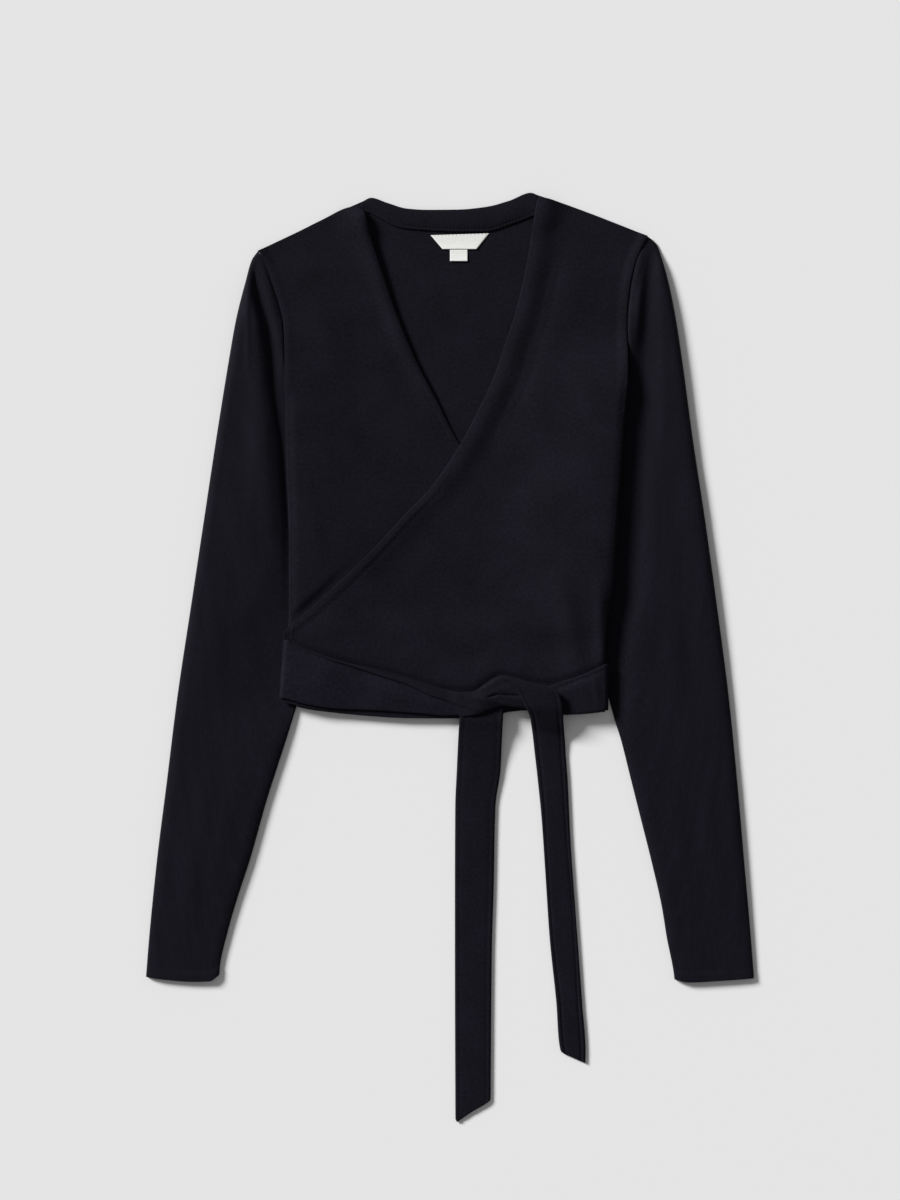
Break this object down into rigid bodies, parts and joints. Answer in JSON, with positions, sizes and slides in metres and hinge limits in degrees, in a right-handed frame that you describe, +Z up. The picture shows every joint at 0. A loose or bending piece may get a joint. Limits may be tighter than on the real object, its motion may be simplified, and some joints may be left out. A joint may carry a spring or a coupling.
{
  "type": "wrap top",
  "caption": "Long-sleeved wrap top in plain navy jersey, laid flat with crossed fronts, a back neckband and a waist tie knotted at the front.",
  "frame": {"origin": "middle of the bounding box, on the surface that the garment lies on", "axes": "+X toward the viewer's right of the laid front, +Y from the hem toward the neck, +Z up off the surface"},
  "size_m": [0.5348, 0.8176, 0.0188],
  "materials": {
    "navy_jersey": "fine smooth jersey, matt with a faint sheen",
    "navy_neckband": "fine smooth jersey facing, matt",
    "navy_tie": "doubled fine jersey, matt with a faint sheen",
    "white_tape": "plain woven satin tape, bare"
  },
  "bodies": {
    "root": {"back": "navy_jersey", "back_neckband": "navy_neckband", "front_under": "navy_jersey", "front_over": "navy_jersey", "sleeve_left": "navy_jersey", "sleeve_right": "navy_jersey", "tie_back": "navy_tie", "tie_left": "navy_tie", "tie_left_fold": "navy_tie", "tie_right": "navy_tie", "knot_strand": "navy_tie", "tail_left": "navy_tie", "tail_right": "navy_tie", "label": "white_tape", "size_tag": "white_tape"}
  },
  "joints": []
}
